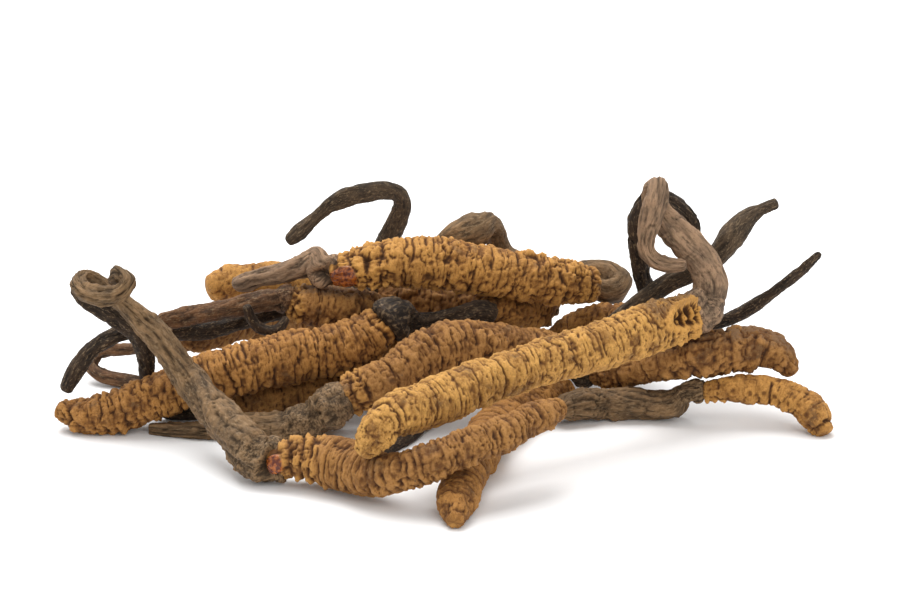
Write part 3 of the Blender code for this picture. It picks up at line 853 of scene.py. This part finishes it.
class HuskSettings(bpy.types.PropertyGroup):
    """Sizes and colours of the larva husks."""

    grain_height: length_setting("Grain height", "Height of the crumbly grain of the skin", 0.000045)
    # The painted shade in a crease and the painted highlight on a crest are full at this depth and height
    dark_depth: length_setting("Dark depth", "Depth at which a crease is at its darkest", 0.00023)
    plumpness: length_setting("Plumpness", "How far the skin lies outside the solid on average", 0.00004)
    mesh_step: length_setting("Mesh step", "Distance between the mesh's rows on the finest husks", 0.00014)
    pale_colour: colour_setting("Pale husk", "Skin of the lightest husk", (0.58, 0.3, 0.072))
    golden_colour: colour_setting("Golden husk", "Skin of the golden husks", (0.51, 0.245, 0.056))
    rust_colour: colour_setting("Rust husk", "Skin of the orange brown husks", (0.4, 0.182, 0.042))
    brown_colour: colour_setting("Brown husk", "Skin of the browner husks", (0.36, 0.168, 0.043))
    ochre_colour: colour_setting("Ochre", "Puffed rings behind the head", (0.66, 0.33, 0.075))
    bark_colour: colour_setting("Bark", "Stalk tissue that has crept over the skin", (0.17, 0.095, 0.048))
    # The fold and crease colours are painted shade, laid into the hollows of the skin
    fold_colour: colour_setting("Fold", "Shallow folds", (0.14, 0.055, 0.014))
    crease_colour: colour_setting("Crease", "Bottom of the creases", (0.05, 0.02, 0.008))
    soot_colour: colour_setting("Soot", "Grey brown soil left on the skin", (0.11, 0.068, 0.036))
    amber_colour: colour_setting("Amber", "Dark part of the hard glossy head", (0.1, 0.014, 0.002))
    honey_colour: colour_setting("Honey", "Bright part of the hard glossy head", (0.42, 0.11, 0.012))


class StalkSettings(bpy.types.PropertyGroup):
    """Sizes and colours of the stalks."""

    furrow_depth: length_setting("Furrow depth", "How deep the lengthwise furrows cut", 0.00019)
    mesh_step: length_setting("Mesh step", "Distance between the mesh's rows on the finest stalks", 0.00017)
    plumpness: length_setting("Plumpness", "How far the skin lies outside the solid on average", 0.0001)
    grey_colour: colour_setting("Grey stalk", "Grey brown stalks", (0.15, 0.09, 0.043))
    olive_colour: colour_setting("Olive stalk", "Smooth olive grey stalks", (0.062, 0.041, 0.024))
    pinkish_colour: colour_setting("Pinkish stalk", "Lighter, pinker stalks", (0.23, 0.145, 0.088))
    reddish_colour: colour_setting("Reddish stalk", "Red brown stalks", (0.11, 0.052, 0.022))
    dark_colour: colour_setting("Dark stalk", "Nearly black stalks", (0.034, 0.02, 0.011))
    dust_colour: colour_setting("Dust", "Pale flecks of fibre", (0.36, 0.25, 0.14))
    # The painted shade in a furrow and the painted highlight on a ridge are full at this depth and height
    dark_depth: length_setting("Dark depth", "Depth at which a furrow is at its darkest", 0.00016)


class StageSettings(bpy.types.PropertyGroup):
    """Floor, light and camera."""

    floor_colour: colour_setting("Floor", "Pale floor under the bundle", (0.9, 0.9, 0.9))
    light_power: bpy.props.FloatProperty(
        name="Light power", description="Power of the large soft light overhead", unit="POWER", default=4.3)
    sky_strength: bpy.props.FloatProperty(
        name="Sky strength", description="Strength of the even light from all round", default=0.85)
    camera_distance: length_setting("Camera distance", "From the camera to the point it looks at", 0.4)
    camera_height: bpy.props.FloatProperty(
        name="Camera height", description="Angle of the camera above the floor", unit="ROTATION",
        default=math.radians(18))
    lens: bpy.props.FloatProperty(name="Lens", description="Focal length in millimetres", default=136)


# Operators


def grow_husk(name, settings):
    """Builds one husk's skin over its solid."""
    tone, detail = HUSKS[name][1:3]
    step = settings.mesh_step / MM / detail
    around = int(HUSK_COLUMNS * detail)
    skin = Skin(TUBES[name], step, around)
    relief = husk_relief(skin, settings, name, HUSKS[name])
    return skin.piece(name, skin.raised(relief), material_for(husk_material, tone, settings))


def grow_stalk(name, settings):
    """Builds one stalk's skin over its solid."""
    tone, detail, _, _, reach, _ = STALKS[name]
    tube = with_collar(name, reach)
    step = settings.mesh_step / MM / detail
    thick = np.median(np.linalg.norm(tube[1] - tube[1].mean(axis=1, keepdims=True), axis=2))
    around = int(np.clip(math.tau * thick / step * 0.9, *STALK_COLUMNS))
    skin = Skin(tube, step, around)
    relief = stalk_relief(skin, settings, name, STALKS[name])
    return skin.piece(name, skin.raised(relief), material_for(stalk_material, tone, settings))


class HuskOperator:
    """Grows each husk of the group."""

    bl_options = {"REGISTER", "UNDO"}
    names = ()

    def execute(self, context):
        for name in self.names:
            grow_husk(name, context.scene.cordyceps_husks)
        return {"FINISHED"}


class StalkOperator:
    """Grows each stalk of the group."""

    bl_options = {"REGISTER", "UNDO"}
    names = ()

    def execute(self, context):
        for name in self.names:
            grow_stalk(name, context.scene.cordyceps_stalks)
        return {"FINISHED"}


class CORDYCEPS_OT_front_husks(HuskOperator, bpy.types.Operator):
    """Grow the long front husk, the low front husk and the stub under them"""

    bl_idname = "cordyceps.front_husks"
    bl_label = "Front husks"
    names = FRONT_HUSKS


class CORDYCEPS_OT_middle_husks(HuskOperator, bpy.types.Operator):
    """Grow the top, left, middle, spotted and hanging husks"""

    bl_idname = "cordyceps.middle_husks"
    bl_label = "Middle husks"
    names = MIDDLE_HUSKS


class CORDYCEPS_OT_right_husks(HuskOperator, bpy.types.Operator):
    """Grow the two husks that stick out at the right"""

    bl_idname = "cordyceps.right_husks"
    bl_label = "Right husks"
    names = RIGHT_HUSKS


class CORDYCEPS_OT_hidden_husks(HuskOperator, bpy.types.Operator):
    """Grow the husks at the back and underneath"""

    bl_idname = "cordyceps.hidden_husks"
    bl_label = "Hidden husks"
    names = HIDDEN_HUSKS


class CORDYCEPS_OT_left_stalks(StalkOperator, bpy.types.Operator):
    """Grow the curled, arching and leaning stalks at the left"""

    bl_idname = "cordyceps.left_stalks"
    bl_label = "Left stalks"
    names = LEFT_STALKS


class CORDYCEPS_OT_top_stalks(StalkOperator, bpy.types.Operator):
    """Grow the blunt, ribbon and budded stalks on top"""

    bl_idname = "cordyceps.top_stalks"
    bl_label = "Top stalks"
    names = TOP_STALKS


class CORDYCEPS_OT_right_stalks(StalkOperator, bpy.types.Operator):
    """Grow the knotted, looped, blunt and thin stalks at the right"""

    bl_idname = "cordyceps.right_stalks"
    bl_label = "Right stalks"
    names = RIGHT_STALKS


class CORDYCEPS_OT_ground_stalks(StalkOperator, bpy.types.Operator):
    """Grow the stalks that lie low in the bundle and on the ground"""

    bl_idname = "cordyceps.ground_stalks"
    bl_label = "Ground stalks"
    names = GROUND_STALKS


class CORDYCEPS_OT_stage(bpy.types.Operator):
    """Lay the pale floor and set up the soft light and the camera"""

    bl_idname = "cordyceps.stage"
    bl_label = "Stage"
    bl_options = {"REGISTER", "UNDO"}

    def execute(self, context):
        settings = context.scene.cordyceps_stage
        lay_floor(settings)
        set_lights(settings, context.scene)
        set_camera(settings, context.scene)
        return {"FINISHED"}


def lay_floor(settings):
    """A plain pale sheet, far wider than the bundle."""
    corners = [(x * FLOOR_HALF, y * FLOOR_HALF, 0) for x, y in ((-1, -1), (1, -1), (1, 1), (-1, 1))]
    mesh = bpy.data.meshes.new("floor")
    mesh.from_pydata(corners, [], [(0, 1, 2, 3)])
    recipe = Recipe("floor_paper")
    recipe.put(recipe.shader.inputs["Base Color"], tuple(settings.floor_colour))
    recipe.put(recipe.shader.inputs["Roughness"], 0.6)
    mesh.materials.append(recipe.material)
    floor = bpy.data.objects.new("floor", mesh)
    bpy.context.scene.collection.objects.link(floor)


def set_lights(settings, scene):
    """Even light from all round, a large soft lamp overhead and a weaker one in front."""
    world = bpy.data.worlds.new("soft_room")
    world.use_nodes = True
    background = world.node_tree.nodes["Background"]
    background.inputs["Color"].default_value = (1, 1, 1, 1)
    background.inputs["Strength"].default_value = settings.sky_strength
    scene.world = world
    for name, (place, share) in LAMPS.items():
        lamp = bpy.data.lights.new(name, "AREA")
        lamp.energy = settings.light_power * share
        lamp.size = LAMP_SIZE
        light = bpy.data.objects.new(name, lamp)
        light.location = place
        light.rotation_euler = (-Vector(place)).to_track_quat("-Z", "Y").to_euler()
        scene.collection.objects.link(light)
    scene.view_settings.view_transform = "Standard"


def set_camera(settings, scene):
    """Looks along +Y and down at the middle of the bundle."""
    aim = Vector(AIM)
    angle = settings.camera_height
    place = aim + Vector((0, -math.cos(angle), math.sin(angle))) * settings.camera_distance
    lens = bpy.data.cameras.new("camera")
    lens.lens = settings.lens
    lens.sensor_width = 36
    lens.clip_start = 0.01
    camera = bpy.data.objects.new("camera", lens)
    camera.location = place
    camera.rotation_euler = (aim - place).to_track_quat("-Z", "Y").to_euler()
    scene.collection.objects.link(camera)
    scene.camera = camera


class CORDYCEPS_PT_panel(bpy.types.Panel):
    """Lists the settings and the operators"""

    bl_idname = "CORDYCEPS_PT_panel"
    bl_label = "Cordyceps bundle"
    bl_space_type = "VIEW_3D"
    bl_region_type = "UI"
    bl_category = "Cordyceps"

    def draw(self, context):
        for title, settings in (("Husks", context.scene.cordyceps_husks),
                                ("Stalks", context.scene.cordyceps_stalks),
                                ("Stage", context.scene.cordyceps_stage)):
            box = self.layout.box()
            box.label(text=title)
            for setting in settings.bl_rna.properties:
                if setting.identifier not in ("rna_type", "name"):
                    box.prop(settings, setting.identifier)
        for operator in OPERATORS:
            self.layout.operator(operator.bl_idname)


OPERATORS = (
    CORDYCEPS_OT_front_husks, CORDYCEPS_OT_middle_husks, CORDYCEPS_OT_right_husks,
    CORDYCEPS_OT_hidden_husks, CORDYCEPS_OT_left_stalks, CORDYCEPS_OT_top_stalks,
    CORDYCEPS_OT_right_stalks, CORDYCEPS_OT_ground_stalks, CORDYCEPS_OT_stage,
)
CLASSES = (HuskSettings, StalkSettings, StageSettings) + OPERATORS + (CORDYCEPS_PT_panel,)


def register():
    for kind in CLASSES:
        bpy.utils.register_class(kind)
    bpy.types.Scene.cordyceps_husks = bpy.props.PointerProperty(type=HuskSettings)
    bpy.types.Scene.cordyceps_stalks = bpy.props.PointerProperty(type=StalkSettings)
    bpy.types.Scene.cordyceps_stage = bpy.props.PointerProperty(type=StageSettings)


def unregister():
    del bpy.types.Scene.cordyceps_stage
    del bpy.types.Scene.cordyceps_stalks
    del bpy.types.Scene.cordyceps_husks
    for kind in reversed(CLASSES):
        bpy.utils.unregister_class(kind)


def write_sizes():
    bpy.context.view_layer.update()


def main():
    register()
    for operator in OPERATORS:
        group, name = operator.bl_idname.split(".")
        getattr(getattr(bpy.ops, group), name)()
    write_sizes()


if __name__ == "__main__":
    main()
